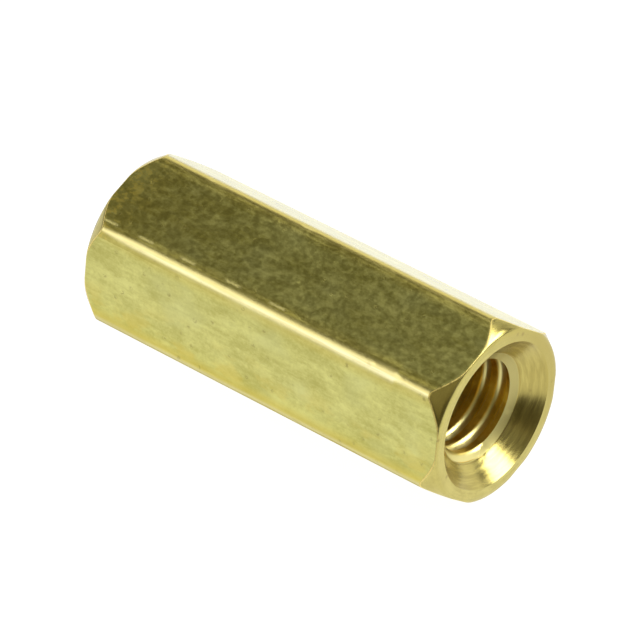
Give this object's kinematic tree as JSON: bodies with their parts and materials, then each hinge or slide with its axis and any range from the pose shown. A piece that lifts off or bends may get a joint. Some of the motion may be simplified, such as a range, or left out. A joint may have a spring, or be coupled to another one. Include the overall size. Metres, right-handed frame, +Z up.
{
  "type": "hex standoff",
  "caption": "Short hexagonal brass standoff, tapped through for a small machine screw at either end, with countersunk mouths and chamfered ends.",
  "frame": {"origin": "middle of the resting flat, at the centre of the box's underside", "axes": "+X along the bar and the threaded hole, +Z up out of the flat opposite the one it lies on, +Y across the corners"},
  "size_m": [0.012, 0.0054, 0.0047],
  "materials": {
    "brass": "drawn flats, turned ends"
  },
  "bodies": {
    "root": {"standoff_body": "brass"}
  },
  "joints": []
}
